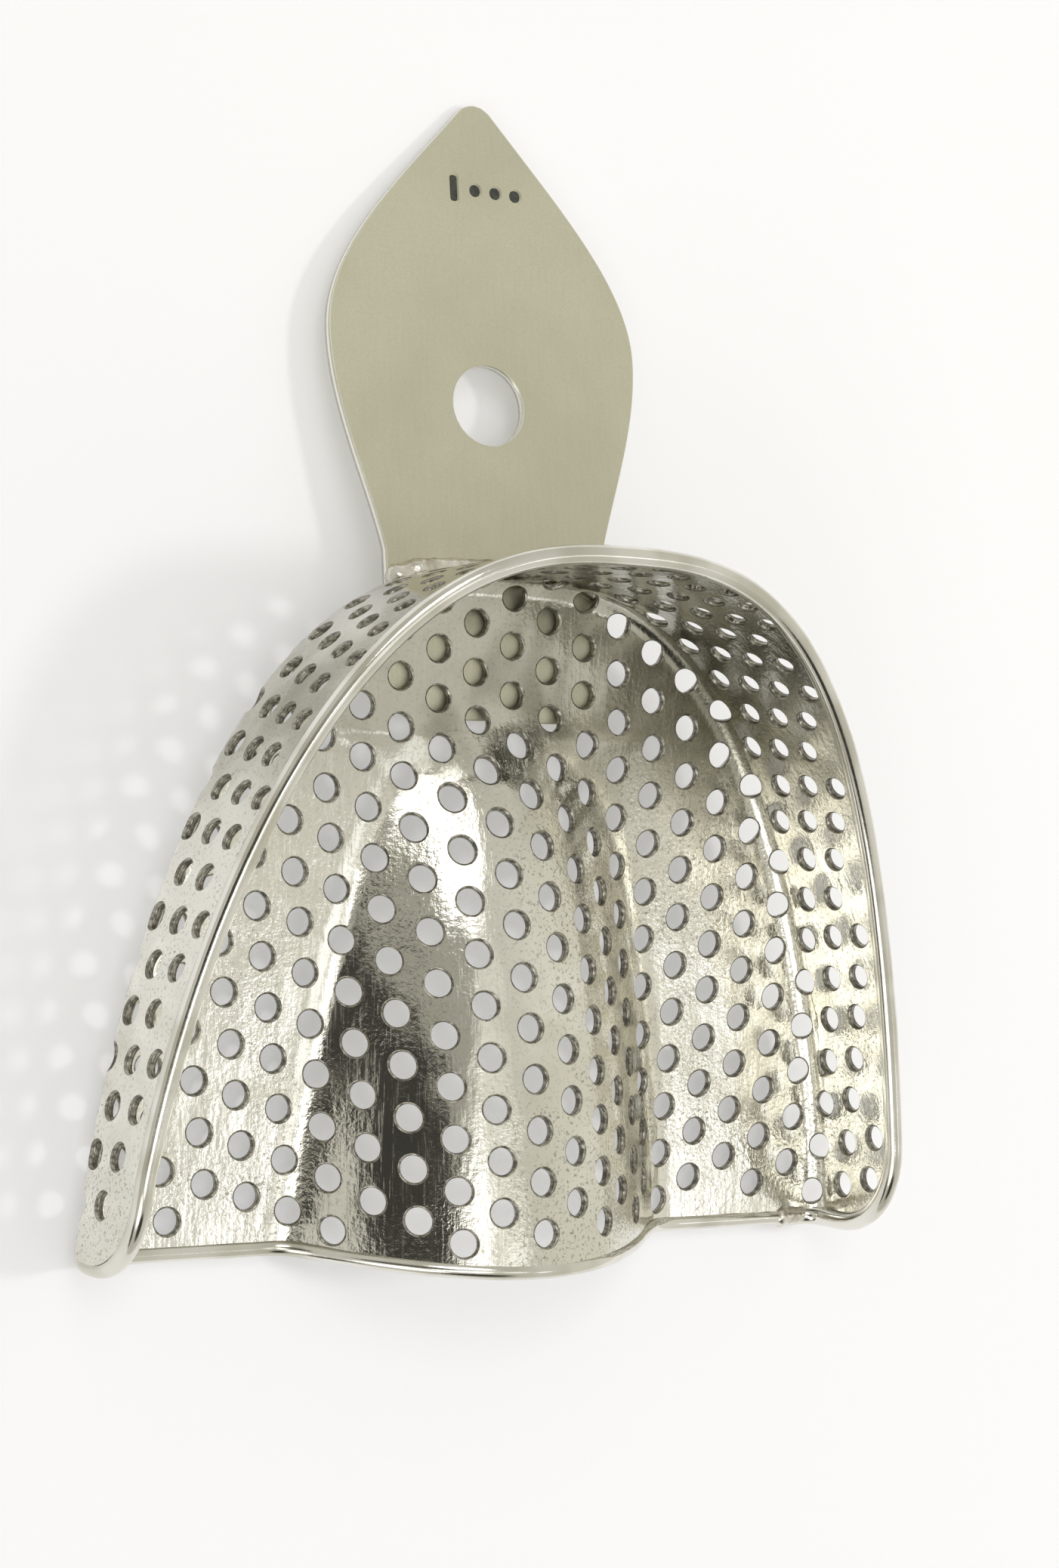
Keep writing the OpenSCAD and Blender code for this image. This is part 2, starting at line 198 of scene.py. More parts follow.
def nearest_on_arch(p):
    """Fractional index of the nearest arch foot point, and the signed distance from it."""
    index = np.empty(len(p))
    dist = np.empty(len(p))
    for s in range(0, len(p), CHUNK):
        q = p[s:s + CHUNK]
        d2 = (q[:, None, 0] - ARCH_FOOT[None, :, 0]) ** 2 + (q[:, None, 1] - ARCH_FOOT[None, :, 1]) ** 2
        k = np.clip(d2.argmin(1), 1, len(ARCH_FOOT) - 2)
        a, b = ARCH_FOOT[k - 1], ARCH_FOOT[k + 1]
        along = b - a
        f = np.clip(((q - a) * along).sum(1) / (along ** 2).sum(1), 0, 1)
        foot = a + along * f[:, None]
        index[s:s + CHUNK] = k - 1 + 2 * f
        out = ARCH_OUT[k]
        dist[s:s + CHUNK] = ((q - foot) * out).sum(1)
    return index, dist


def at_index(values, index):
    """Values at fractional indices."""
    i = np.clip(index.astype(int), 0, len(values) - 2)
    f = (index - i)[:, None]
    return values[i] * (1 - f) + values[i + 1] * f


def pressed(uv):
    """Middle surface of the tray for points of the flat sheet."""
    u, v = uv[:, 0], uv[:, 1]
    x = sideways(u, v)
    flat = np.column_stack([x, v])
    index, past = nearest_on_arch(flat)
    run = past + BEND_IN
    top, out = at_index(ARCH, index), at_index(ARCH_OUT, index)
    out = out / np.linalg.norm(out, axis=1)[:, None]
    a = np.clip(run / BEND_IN, 0, math.pi / 2)
    up = np.maximum(0, run - BEND_LEN)
    z = HALF_T + BEND_IN * (1 - np.cos(a)) + up
    lean = 1 - FRONT_DRAFT / ARCH_DEPTH * (1 - z / rim_h(top[:, 1]))
    off = BEND_IN * (np.sin(a) - 1)
    wall = np.column_stack([top[:, 0] + off * out[:, 0],
                            (top[:, 1] + ARCH_DEPTH) * lean - ARCH_DEPTH + off * out[:, 1], z])
    floor = np.column_stack([x, v, HALF_T + vault_z(x, v)])
    return np.where((run <= 0)[:, None], floor, wall)


def pressed_normals(uv, e=0.12):
    """Upward or inward directions of the middle surface."""
    du, dv = np.array([[e, 0]]), np.array([[0, e]])
    a = pressed(uv + du) - pressed(uv - du)
    b = pressed(uv + dv) - pressed(uv - dv)
    n = np.cross(a, b)
    return n / np.maximum(np.linalg.norm(n, axis=1), TINY)[:, None]


def rear_edge(x):
    """Rear edge of the sheet, bowed a little to the rear over the vault."""
    return -REAR_Y - REAR_BULGE * np.maximum(0, 1 - (x / VAULT_HALF_W) ** 2)


def on_sheet(uv, gap=0.25):
    """Which flat points are inside the trimmed sheet."""
    p = pressed(uv)
    heel_top = rim_h(-HEEL_Y)
    dy = -HEEL_Y - p[:, 1]
    dz = p[:, 2] - (heel_top - HEEL_R)
    wall = np.abs(p[:, 0]) > ARCH_HALF_W - 4
    corner = wall & (dy > 0) & (dz > 0) & (np.hypot(dy, dz) > HEEL_R - gap)
    inner = (np.abs(p[:, 0]) < VAULT_HALF_W + 2) & (p[:, 1] < -VAULT_FRONT)
    under_rim = inner | (p[:, 2] < rim_h(p[:, 1]) - gap)
    return under_rim & (p[:, 1] > rear_edge(p[:, 0]) + gap) & ~corner


def sheet_outline(step=0.45):
    """Outline of the flat sheet, evenly stepped, found outwards from its middle."""
    centre = np.array([0.0, -30.0])
    angle = np.linspace(0, 2 * math.pi, 3600, endpoint=False)
    ray = np.column_stack([np.cos(angle), np.sin(angle)])
    low, high = np.zeros(len(ray)), np.full(len(ray), 75.0)
    for _ in range(18):
        mid = (low + high) / 2
        ok = on_sheet(centre + ray * mid[:, None])
        low, high = np.where(ok, mid, low), np.where(ok, high, mid)
    line = centre + ray * low[:, None]
    closed = np.vstack([line, line[:1]])
    run = np.concatenate([[0], np.cumsum(np.linalg.norm(np.diff(closed, axis=0), axis=1))])
    count = int(run[-1] / step)
    at = np.linspace(0, run[-1], count, endpoint=False)
    return np.column_stack([np.interp(at, run, closed[:, 0]), np.interp(at, run, closed[:, 1])])


def inside_polygon(p, poly):
    """Which points lie inside a closed outline."""
    inside = np.zeros(len(p), bool)
    a, b = poly, np.roll(poly, -1, axis=0)
    for (x0, y0), (x1, y1) in zip(a, b):
        if y0 == y1:
            continue
        crosses = ((p[:, 1] < y0) != (p[:, 1] < y1))
        at = x0 + (p[:, 1] - y0) * (x1 - x0) / (y1 - y0)
        inside ^= crosses & (p[:, 0] < at)
    return inside


def gap_to(p, targets):
    """Distance from each point to the nearest target point."""
    out = np.empty(len(p))
    for s in range(0, len(p), CHUNK):
        q = p[s:s + CHUNK]
        d2 = (q[:, None, 0] - targets[None, :, 0]) ** 2 + (q[:, None, 1] - targets[None, :, 1]) ** 2
        out[s:s + CHUNK] = np.sqrt(d2.min(1))
    return out


# ---------------------------------------------------------------- perforations
PITCH = 3.92
ROW_GAP = 3.46
MID_ROW = 6
PATTERN_X = 2.14
PATTERN_Y = -26.5
ROW_LEAN = 0.34
ROW_CURL = 0.0031
ROW_PINCH = 0.0034
ROW_TILT = 0.186
ROW_BOW = 0.0368
HOLE_SCATTER = 0.035
HOLE_SIDES = 24
HOLE_LIP = 0.16
EDGE_MARGIN = 0.42
ROUND_OFF = 0.11
SKIN_STEP = 0.62
LEAN_OUT = 0.7  # how far a rounded edge's normal turns to the side


def lattice():
    """Centres of the staggered perforations in the flat sheet."""
    rng = np.random.default_rng(7)
    centres = []
    for i in range(-17, 17):
        for j in range(-8, 16):
            m = j + (abs(i) % 2) / 2 - MID_ROW
            near = min(max(m, -MID_ROW), MID_ROW)
            u = (PATTERN_X + ROW_GAP * i + ROW_LEAN * m
                 - ROW_CURL * near ** 3 - ROW_PINCH * i * near ** 2)
            centres.append((u, PATTERN_Y + ROW_TILT * i - PITCH * m - ROW_BOW * i * i))
    centres = np.array(centres)
    return centres + rng.normal(0, HOLE_SCATTER, centres.shape)


def triangulate(points, rings):
    """Constrained triangles over points; each ring is a run of indices joined in a loop."""
    edges = []
    for first, count in rings:
        edges += [(first + k, first + (k + 1) % count) for k in range(count)]
    verts, _, faces, orig, _, _ = delaunay_2d_cdt(
        [Vector(p) for p in points.tolist()], edges, [], 0, 1e-7, True)
    return np.array([tuple(v) for v in verts]), np.array(faces), orig


TRIANGLE_RISE = 0.866


def filled_points(outline, keep_out, step, margin, jitter=0.08, seed=3):
    """Staggered grid points inside an outline and outside round keep-out zones."""
    rng = np.random.default_rng(seed)
    lo, hi = outline.min(0), outline.max(0)
    pts = []
    row = 0
    y = lo[1]
    while y < hi[1]:
        xs = np.arange(lo[0] + (row % 2) * step / 2, hi[0], step)
        pts.append(np.column_stack([xs, np.full_like(xs, y)]))
        y += step * TRIANGLE_RISE
        row += 1
    p = np.vstack(pts)
    p = p + rng.uniform(-jitter, jitter, p.shape) * step
    p = p[inside_polygon(p, outline)]
    p = p[gap_to(p, outline) > margin]
    for (cx, cy, r) in keep_out:
        p = p[np.hypot(p[:, 0] - cx, p[:, 1] - cy) > r]
    return p


def only_used(verts, faces, orig):
    """The points that the triangles use, where each came from, and the triangles."""
    source = np.array([o[0] if o else -1 for o in orig])
    used = np.unique(faces)
    renumber = np.full(len(verts), -1)
    renumber[used] = np.arange(len(used))
    return verts[used], source[used], renumber[faces]


def closed_faces(faces, n):
    """Upper faces, lower faces, then a wall along every open edge."""
    edges = dict.fromkeys(e for a, b, c in faces for e in ((a, b), (b, c), (c, a)))
    rim = [(p, q) for (p, q) in edges if (q, p) not in edges]
    upper = [tuple(f) for f in faces]
    lower = [(n + f[0], n + f[2], n + f[1]) for f in faces]
    return upper + lower + [(q, p, n + p, n + q) for p, q in rim]


def build_shell(material, cut_edge):
    """The perforated sheet, meshed flat and then pressed with its holes."""
    outline = sheet_outline()
    centres = lattice()
    centres = centres[inside_polygon(centres, outline)]
    centres = centres[gap_to(centres, outline) > HOLE_R + EDGE_MARGIN]
    sides = HOLE_SIDES
    turn = 2 * math.pi * np.arange(sides) / sides
    unit = np.column_stack([np.cos(turn), np.sin(turn)])
    points, rings = [outline], [(0, len(outline))]
    drop, radial = [np.zeros(len(outline))], [np.zeros((len(outline), 2))]
    first = len(outline)
    for c in centres:
        points += [c + unit * HOLE_R, c + unit * (HOLE_R + HOLE_LIP)]
        drop += [np.ones(sides), np.zeros(sides)]
        radial += [-unit, np.zeros((sides, 2))]
        rings += [(first, sides), (first + sides, sides)]
        first += 2 * sides
    zones = [(c[0], c[1], HOLE_R + HOLE_LIP + 0.28) for c in centres]
    fill = filled_points(outline, zones, SKIN_STEP, 0.3)
    points.append(fill)
    drop.append(np.zeros(len(fill)))
    radial.append(np.zeros((len(fill), 2)))
    points, drop, radial = np.vstack(points), np.concatenate(drop), np.vstack(radial)
    verts, faces, orig = triangulate(points, rings)
    source = np.array([o[0] if o else -1 for o in orig])
    keep = inside_polygon(verts[faces].mean(1), outline)
    hole_of = np.full(len(verts), -1)
    start = len(outline)
    for k in range(len(centres)):
        hole_of[np.isin(source, np.arange(start + 2 * sides * k, start + 2 * sides * k + sides))] = k
    corner = hole_of[faces]
    in_hole = (corner[:, 0] >= 0) & (corner == corner[:, :1]).all(1)
    uv, src, faces = only_used(verts, faces[keep & ~in_hole], orig)
    drop, radial = drop[src], radial[src]
    middle = pressed(uv)
    normal = pressed_normals(uv)
    # radial direction of each hole wall on the pressed surface
    e = 0.05
    shifted = pressed(uv + radial * e)
    rad = (shifted - middle) / e
    rad = rad / np.maximum(np.linalg.norm(rad, axis=1), TINY)[:, None]
    lift = (HALF_T - drop * ROUND_OFF)[:, None]
    top, low = middle + normal * lift, middle - normal * lift
    soft = drop[:, None]
    top_n = normal * (1 - 0.3 * soft) + rad * soft * LEAN_OUT
    low_n = -normal * (1 - 0.3 * soft) + rad * soft * LEAN_OUT
    all_faces = closed_faces(faces, len(uv))
    obj = make_piece("perforated_shell", np.vstack([top, low]), all_faces,
                     np.vstack([top_n, low_n]), material, "tray_shell")
    obj.data.materials.append(cut_edge)
    lips = np.nonzero(drop[faces].max(1) > 0)[0]
    sheared = list(lips) + list(lips + len(faces)) + list(range(2 * len(faces), len(all_faces)))
    for k in sheared:
        obj.data.polygons[int(k)].material_index = 1
    return obj


# ---------------------------------------------------------------- wires
def resample(path, step):
    """Evenly stepped points along a path."""
    run = np.concatenate([[0], np.cumsum(np.linalg.norm(np.diff(path, axis=0), axis=1))])
    at = np.linspace(0, run[-1], max(2, int(run[-1] / step)) + 1)
    return np.column_stack([np.interp(at, run, path[:, k]) for k in range(3)])


def soften(path, rounds):
    """A path with each point averaged with its neighbours."""
    for _ in range(rounds):
        path = np.vstack([path[:1], (path[:-2] + 2 * path[1:-1] + path[2:]) / 4, path[-1:]])
    return path


def swept(path, radius, sides, wobble, seed):
    """Round tube along a path with domed ends."""
    rng = np.random.default_rng(seed)
    n = len(path)
    d = np.gradient(path, axis=0)
    d /= np.linalg.norm(d, axis=1)[:, None]
    s = np.cross(d[0], [0.3, 0.2, 1.0])
    s /= np.linalg.norm(s)
    points, normals = [], []
    noise = soften(rng.normal(0, 1, (n, 3)), 6)[:, 0]
    r = radius + wobble * noise / noise.std()
    a = 2 * math.pi * np.arange(sides) / sides
    for i in range(n):
        s = s - d[i] * (s @ d[i])
        s /= np.linalg.norm(s)
        w = np.cross(d[i], s)
        ring = np.cos(a)[:, None] * s + np.sin(a)[:, None] * w
        first_dome = [(-0.7, 0.35), (-0.45, 0.75)] if i == 0 else []
        last_dome = [(0.45, 0.75), (0.7, 0.35)] if i == n - 1 else []
        for along, shrink in first_dome + [(0, 1)] + last_dome:
            points.append(path[i] + d[i] * along * r[i] + ring * r[i] * shrink)
            normals.append(ring * shrink + d[i] * along)
    rings = len(points)
    points, normals = np.vstack(points), np.vstack(normals)
    faces = []
    for i in range(rings - 1):
        for k in range(sides):
            a0, b0 = i * sides + k, i * sides + (k + 1) % sides
            faces.append((a0, b0, b0 + sides, a0 + sides))
    faces.append(tuple(range(sides - 1, -1, -1)))
    faces.append(tuple((rings - 1) * sides + k for k in range(sides)))
    return points, faces, normals


def rim_path():
    """Middle line of the rim wire from one heel foot round to the other."""
    line = ARCH[ARCH[:, 1] > -HEEL_Y + 0.4]
    arch = np.column_stack([line, rim_h(line[:, 1])])
    top = rim_h(-HEEL_Y)
    x_at = ARCH_HALF_W * (1 - ((ARCH_DEPTH - HEEL_Y) / ARCH_DEPTH) ** FRONT_POWER) ** (1 / SIDE_POWER)
    a = np.radians(np.arange(0, 91, 5))
    heel = np.column_stack([x_at + 0.3 * np.sin(a), -HEEL_Y - HEEL_R * np.sin(a),
                            top - HEEL_R * (1 - np.cos(a))])
    foot = np.column_stack([x_at + 0.3 - BEND_IN * (1 - np.cos(a)), np.full(len(a), -REAR_Y),
                            HALF_T + BEND_IN * (1 - np.sin(a))])[1:]
    right = np.vstack([heel, foot])
    left = right[::-1] * [-1, 1, 1]
    return np.vstack([left, arch, right])


def rear_path():
    """Middle line of the rear wire over both trough floors and the vault."""
    x = np.linspace(-1, 1, 161) * (abs(rim_path()[0][0]))
    y = rear_edge(x)
    z = HALF_T + vault_z(x, np.full_like(x, -REAR_Y))
    return np.column_stack([x, y, z])


def build_wires(material):
    path = soften(resample(rim_path(), 0.55), 3)
    p, f, n = swept(path, RIM_WIRE_R, 20, 0.012, 5)
    make_piece("rim_wire_round", p, f, n, material, "rim_wire")
    path = soften(resample(rear_path(), 0.5), 3)
    p, f, n = swept(path, REAR_WIRE_R, 20, 0.012, 9)
    make_piece("rear_wire_round", p, f, n, material, "rear_wire")


# ---------------------------------------------------------------- handle
MARKS = [("bar", -2.3, 30.4), ("dot", -0.3, 30.4), ("dot", 1.6, 30.4), ("dot", 3.5, 30.4)]
PLATE_LIP = 0.14
PLATE_ROUND = 0.1
STAMP_DEPTH = 0.14
BEND_R_PLATE = 2.5
HANG_SIDES = 72


def bezier(a, b, c, d, t):
    t = t[:, None]
    return (a * (1 - t) ** 3 + 3 * b * t * (1 - t) ** 2 + 3 * c * t * t * (1 - t) + d * t ** 3)


def handle_outline():
    """Outline of the flat handle sheet; y is measured along the sheet from the arch front."""
    w, neck = HANDLE_W / 2, NECK_W / 2
    t = np.linspace(0, 1, 60)
    a = np.radians(np.arange(0, 91, 7.5))
    corner = np.column_stack([neck - 4 * (1 - np.sin(a)), -TONGUE_LEN + 4 * (1 - np.cos(a))])
    low = bezier(*(np.array(p) for p in ([neck, 0.3], [neck + 1.2, 5.5], [w, 11.5], [w, 17.5])), t)
    high = bezier(*(np.array(p) for p in ([w, 17.5], [w, 24.0], [w * 0.54, HANDLE_LEN - 7.6],
                                          [1.35, HANDLE_LEN - 0.55])), t)
    tip = np.array([[0.75, HANDLE_LEN - 0.16], [0.0, HANDLE_LEN]])
    right = np.vstack([corner, low, high[1:], tip])
    left = right[::-1][1:] * [-1, 1]
    line = np.vstack([right, left])
    closed = np.vstack([line, line[:1]])
    run = np.concatenate([[0], np.cumsum(np.linalg.norm(np.diff(closed, axis=0), axis=1))])
    at = np.linspace(0, run[-1], int(run[-1] / 0.4), endpoint=False)
    return np.column_stack([np.interp(at, run, closed[:, k]) for k in range(2)])


def inset(poly, gap):
    """An outline moved inwards, and its inward directions."""
    d = np.roll(poly, -1, axis=0) - np.roll(poly, 1, axis=0)
    n = np.column_stack([-d[:, 1], d[:, 0]])
    n /= np.linalg.norm(n, axis=1)[:, None]
    return poly + n * gap, n


def bar_outline(cx, cy, half_w, half_h, r):
    """Rounded bar as a closed run of points, anticlockwise."""
    pts = []
    for qx, qy, start in ((1, 1, 0), (-1, 1, 90), (-1, -1, 180), (1, -1, 270)):
        for a in np.radians(start + np.arange(0, 91, 22.5)):
            pts.append((qx * (half_w - r) + r * math.cos(a), qy * (half_h - r) + r * math.sin(a)))
    return np.array(pts) + [cx, cy]


def bent(flat, height):
    """Handle sheet point at a height over its upper face, bent down at the front wall."""
    x, s = flat[:, 0], flat[:, 1]
    r = BEND_R_PLATE
    half = r * HANDLE_BEND / 2
    a = np.clip((s - (BEND_Y - half)) / r, 0, HANDLE_BEND)
    past = np.maximum(0, s - (BEND_Y + half))
    y0 = np.minimum(s, BEND_Y - half)
    y = y0 + r * np.sin(a) + past * np.cos(a)
    z = -r * (1 - np.cos(a)) - past * np.sin(a)
    up = np.column_stack([np.zeros_like(x), np.sin(a), np.cos(a)])
    return np.column_stack([x, y, z]) + up * height[:, None], up


def build_handle(steel, mark_floor_material):
    """The leaf-shaped plate with its hanging hole and stamped bar and dots."""
    outline = handle_outline()
    ring_in, out_n = inset(outline, PLATE_LIP)
    turn = 2 * math.pi * np.arange(HANG_SIDES) / HANG_SIDES
    unit = np.column_stack([np.cos(turn), np.sin(turn)])
    hole_c = np.array([0.0, HANG_Y])
    pts = [outline, ring_in, hole_c + unit * HANG_R, hole_c + unit * (HANG_R + PLATE_LIP)]
    outward = [-out_n, np.zeros_like(ring_in), -unit, np.zeros_like(unit)]
    drop = [np.ones(len(outline)), np.zeros(len(ring_in)), np.ones(HANG_SIDES), np.zeros(HANG_SIDES)]
    deep = [np.zeros(len(a)) for a in drop]
    sizes = [len(a) for a in pts]
    rings, first = [], 0
    for size in sizes:
        rings.append((first, size))
        first += size
    zones = [(hole_c[0], hole_c[1], HANG_R + PLATE_LIP + 0.25)]
    inner_marks = []
    for kind, mx, my in MARKS:
        if kind == "bar":
            shape = bar_outline(mx, my, 0.42, 1.35, 0.3)
        else:
            shape = bar_outline(mx, my, 0.62, 0.62, 0.58)
        centre = np.array([mx, my])
        inner = centre + (shape - centre) * 0.8
        for k, (loop, depth) in enumerate(((shape, 0.0), (inner, STAMP_DEPTH))):
            pts.append(loop)
            outward.append(np.zeros_like(loop))
            drop.append(np.zeros(len(loop)))
            deep.append(np.full(len(loop), depth))
            rings.append((first, len(loop)))
            if k:
                inner_marks.append(loop)
            first += len(loop)
        zones.append((mx, my, 1.6 if kind == "bar" else 0.95))
    fill = filled_points(outline, zones, 0.9, 0.45, 0.05, 4)
    pts.append(fill)
    outward.append(np.zeros_like(fill))
    drop.append(np.zeros(len(fill)))
    deep.append(np.zeros(len(fill)))
    pts, outward = np.vstack(pts), np.vstack(outward)
    drop, deep = np.concatenate(drop), np.concatenate(deep)
    verts, faces, orig = triangulate(pts, rings)
    mid = verts[faces].mean(1)
    keep = inside_polygon(mid, outline) & (np.hypot(*(mid - hole_c).T) > HANG_R * 0.995)
    flat, src, faces = only_used(verts, faces[keep], orig)
    drop, deep, outward = drop[src], deep[src], outward[src]
    mid = flat[faces].mean(1)
    marked = np.zeros(len(faces), bool)
    for loop in inner_marks:
        marked |= inside_polygon(mid, loop)
    top, up = bent(flat, -drop * PLATE_ROUND - deep)
    low, _ = bent(flat, -HANDLE_T + drop * PLATE_ROUND)
    side = bent(flat + outward * 0.05, np.zeros(len(flat)))[0] - bent(flat, np.zeros(len(flat)))[0]
    side /= np.maximum(np.linalg.norm(side, axis=1), TINY)[:, None]
    soft = drop[:, None]
    top_n = up * (1 - 0.3 * soft) + side * soft * LEAN_OUT
    low_n = -up * (1 - 0.3 * soft) + side * soft * LEAN_OUT
    all_faces = closed_faces(faces, len(flat))
    obj = make_piece("leaf_handle", np.vstack([top, low]), all_faces,
                     np.vstack([top_n, low_n]), steel, "handle_plate")
    obj.data.materials.append(mark_floor_material)
    for k in np.nonzero(marked)[0]:
        obj.data.polygons[int(k)].material_index = 1
    return obj


# ---------------------------------------------------------------- braze and solder
WAVES = 7
BRAZE_R = 1.0
SOLDER_R = 0.84


def lumpy(points, normals, size, amount, seed):
    """Points pushed along their normals by a few summed waves."""
    rng = np.random.default_rng(seed)
    phase = rng.uniform(0, 6.28, (WAVES, 3))
    freq = rng.normal(0, 1, (WAVES, 3)) * 2.2 / size
    n = np.zeros(len(points))
    for k in range(WAVES):
        n += np.sin(points @ freq[k] + phase[k, 0])
    return points + normals * (n / WAVES * amount)[:, None]


def build_braze(material):
    """Bead in the corner between the handle and the front wall."""
    reach = NECK_W / 2 - 0.5
    x = np.linspace(-reach, reach, 90)
    y = ((ARCH_DEPTH - FRONT_DRAFT) * (1 - np.abs(x / ARCH_HALF_W) ** SIDE_POWER) ** (1 / FRONT_POWER)
         - ARCH_DEPTH)
    path = np.column_stack([x, y + 0.25, np.full_like(x, 0.2) - np.maximum(0, y + 6) * 0.16])
    p, f, n = swept(path, BRAZE_R, 18, 0.07, 21)
    p = lumpy(p, n, 1.1, 0.16, 6)
    p = lumpy(p, n, 0.45, 0.06, 7)
    make_piece("braze_bead", p, f, None, material, "handle_braze")


def build_solder(material):
    """Blob at each heel, where the two wires meet."""
    for side, name in ((-1, "left"), (1, "right")):
        joint = rim_path()[0 if side < 0 else -1]
        path = np.column_stack([joint[0] - side * np.linspace(-0.9, 2.0, 24),
                                np.full(24, joint[1] + 0.05), np.full(24, joint[2] + 0.02)])
        p, f, n = swept(path, SOLDER_R, 18, 0.03, 31)
        p = lumpy(p, n, 0.7, 0.05, 8 + side)
        make_piece(f"heel_solder_blob_{name}", p, f, None, material,
                   f"heel_solder_{name}")


# ---------------------------------------------------------------- materials
class Nodes:
    """Short helpers over one material's node tree."""

    def __init__(self, name):
        self.material = bpy.data.materials.new(name)
        self.material.use_nodes = True
        self.tree = self.material.node_tree
        self.tree.nodes.clear()
        self.out = self.tree.nodes.new("ShaderNodeOutputMaterial")
        self.shader = self.tree.nodes.new("ShaderNodeBsdfPrincipled")
        self.tree.links.new(self.shader.outputs[0], self.out.inputs[0])
        self.coords = self.tree.nodes.new("ShaderNodeTexCoord").outputs["Object"]

    def link(self, a, b):
        self.tree.links.new(a, b)

    def mapping(self, scale, turn=(0, 0, 0)):
        m = self.tree.nodes.new("ShaderNodeMapping")
        m.inputs["Scale"].default_value = scale
        m.inputs["Rotation"].default_value = turn
        self.link(self.coords, m.inputs["Vector"])
        return m.outputs[0]

    def noise(self, scale, detail=3.0, rough=0.55, vector=None, distortion=0.0):
        n = self.tree.nodes.new("ShaderNodeTexNoise")
        n.inputs["Scale"].default_value = scale
        n.inputs["Detail"].default_value = detail
        n.inputs["Roughness"].default_value = rough
        n.inputs["Distortion"].default_value = distortion
        self.link(vector if vector is not None else self.coords, n.inputs["Vector"])
        return n.outputs[0]

    def remap(self, value, a, b, c, d, smooth=False):
        m = self.tree.nodes.new("ShaderNodeMapRange")
        if smooth:
            m.interpolation_type = "SMOOTHSTEP"
        for k, v in enumerate((a, b, c, d)):
            m.inputs[k + 1].default_value = v
        self.link(value, m.inputs[0])
        return m.outputs[0]

    def along(self, axis, start, end):
        """0 before start and 1 after end, along one axis of the object, in metres."""
        split = self.tree.nodes.new("ShaderNodeSeparateXYZ")
        self.link(self.coords, split.inputs[0])
        return self.remap(split.outputs[axis], start, end, 0.0, 1.0, True)

    def edge_share(self):
        """1 on the narrow sides of a nearly flat plate, 0 on its two faces."""
        split = self.tree.nodes.new("ShaderNodeSeparateXYZ")
        facing = self.tree.nodes.new("ShaderNodeTexCoord").outputs["Normal"]
        self.link(facing, split.inputs[0])
        return self.remap(self.math("ABSOLUTE", split.outputs[2], 0), 0.65, 0.92, 1.0, 0.0, True)

    def math(self, kind, a, b):
        m = self.tree.nodes.new("ShaderNodeMath")
        m.operation = kind
        for k, v in enumerate((a, b)):
            if isinstance(v, (int, float)):
                m.inputs[k].default_value = v
            else:
                self.link(v, m.inputs[k])
        return m.outputs[0]

    def mix(self, factor, a, b):
        m = self.tree.nodes.new("ShaderNodeMix")
        m.data_type = "RGBA"
        for k, v in ((6, a), (7, b)):
            if isinstance(v, tuple):
                m.inputs[k].default_value = (*v, 1)
            else:
                self.link(v, m.inputs[k])
        self.link(factor, m.inputs[0])
        return m.outputs[2]

    def bump(self, height, strength, distance, under=None):
        b = self.tree.nodes.new("ShaderNodeBump")
        b.inputs["Strength"].default_value = strength
        b.inputs["Distance"].default_value = distance
        self.link(height, b.inputs["Height"])
        if under is not None:
            self.link(under, b.inputs["Normal"])
        return b.outputs[0]

    def set(self, **values):
        for key, v in values.items():
            socket = self.shader.inputs[key.replace("_", " ")]
            if isinstance(v, (int, float)):
                socket.default_value = v
            elif isinstance(v, tuple):
                socket.default_value = (*v, 1)
            else:
                self.link(v, socket)


def polished_sheet():
    """Drawn and polished sheet: bright, a little warm, orange peel, fine scratches, smudges, and
    painted shade over the front.
    """
    m = Nodes("polished_sheet")
    # patch mask shared by the wear specks and by the patches of painted shade at the front
    wear_and_shade_patches = m.remap(m.noise(70, 3.0, 0.6, None, 0.5), 0.40, 0.62, 0.0, 1.0, True)
    peel = m.noise(2600, 2.0, 0.6)
    wave = m.noise(150, 1.0, 0.4)
    drawn = m.noise(420, 3.0, 0.6, m.mapping((1.0, 0.28, 1.0)))
    scratch = m.noise(5200, 2.0, 0.6, m.mapping((1.0, 0.03, 1.0), (0, 0, 0.12)))
    scratch_line = m.remap(scratch, 0.56, 0.66, 0.0, 1.0)
    smudge = m.remap(m.noise(85, 4.0, 0.6, None, 0.6), 0.42, 0.66, 0.0, 1.0, True)
    speck = m.remap(m.noise(3300, 3.0, 0.7), 0.53, 0.66, 0.0, 1.0, True)
    fleck = m.math("MULTIPLY", speck, m.remap(wear_and_shade_patches, 0, 1, 0.25, 1.0))
    rough = m.math("ADD", m.remap(smudge, 0, 1, 0.06, 0.15), m.math("MULTIPLY", fleck, 0.12))
    rough = m.math("ADD", rough, m.math("MULTIPLY", scratch_line, 0.07))
    tone = m.mix(smudge, (0.88, 0.865, 0.79), (0.76, 0.74, 0.65))
    tone = m.mix(m.math("MULTIPLY", fleck, 0.85), tone, (0.30, 0.285, 0.235))
    # painted shade: towards the front of the tray the sheet is darkened in patches, standing in for a
    # darker reflection there
    front = m.math("MULTIPLY", m.along(1, -0.017, -0.001), m.remap(wear_and_shade_patches, 0, 1, 0.45, 1.0))
    tone = m.mix(front, tone, (0.33, 0.315, 0.25))
    rough = m.math("ADD", rough, m.math("MULTIPLY", front, 0.1))
    normal = m.bump(wave, 0.5, 0.00022)
    normal = m.bump(drawn, 0.45, 0.00014, normal)
    normal = m.bump(m.math("MULTIPLY", peel, m.remap(wear_and_shade_patches, 0, 1, 0.35, 1.0)), 0.7, 0.00004, normal)
    normal = m.bump(scratch_line, 0.25, 0.000008, normal)
    m.set(Metallic=1.0, Base_Color=tone, Roughness=rough, Normal=normal)
    return m.material


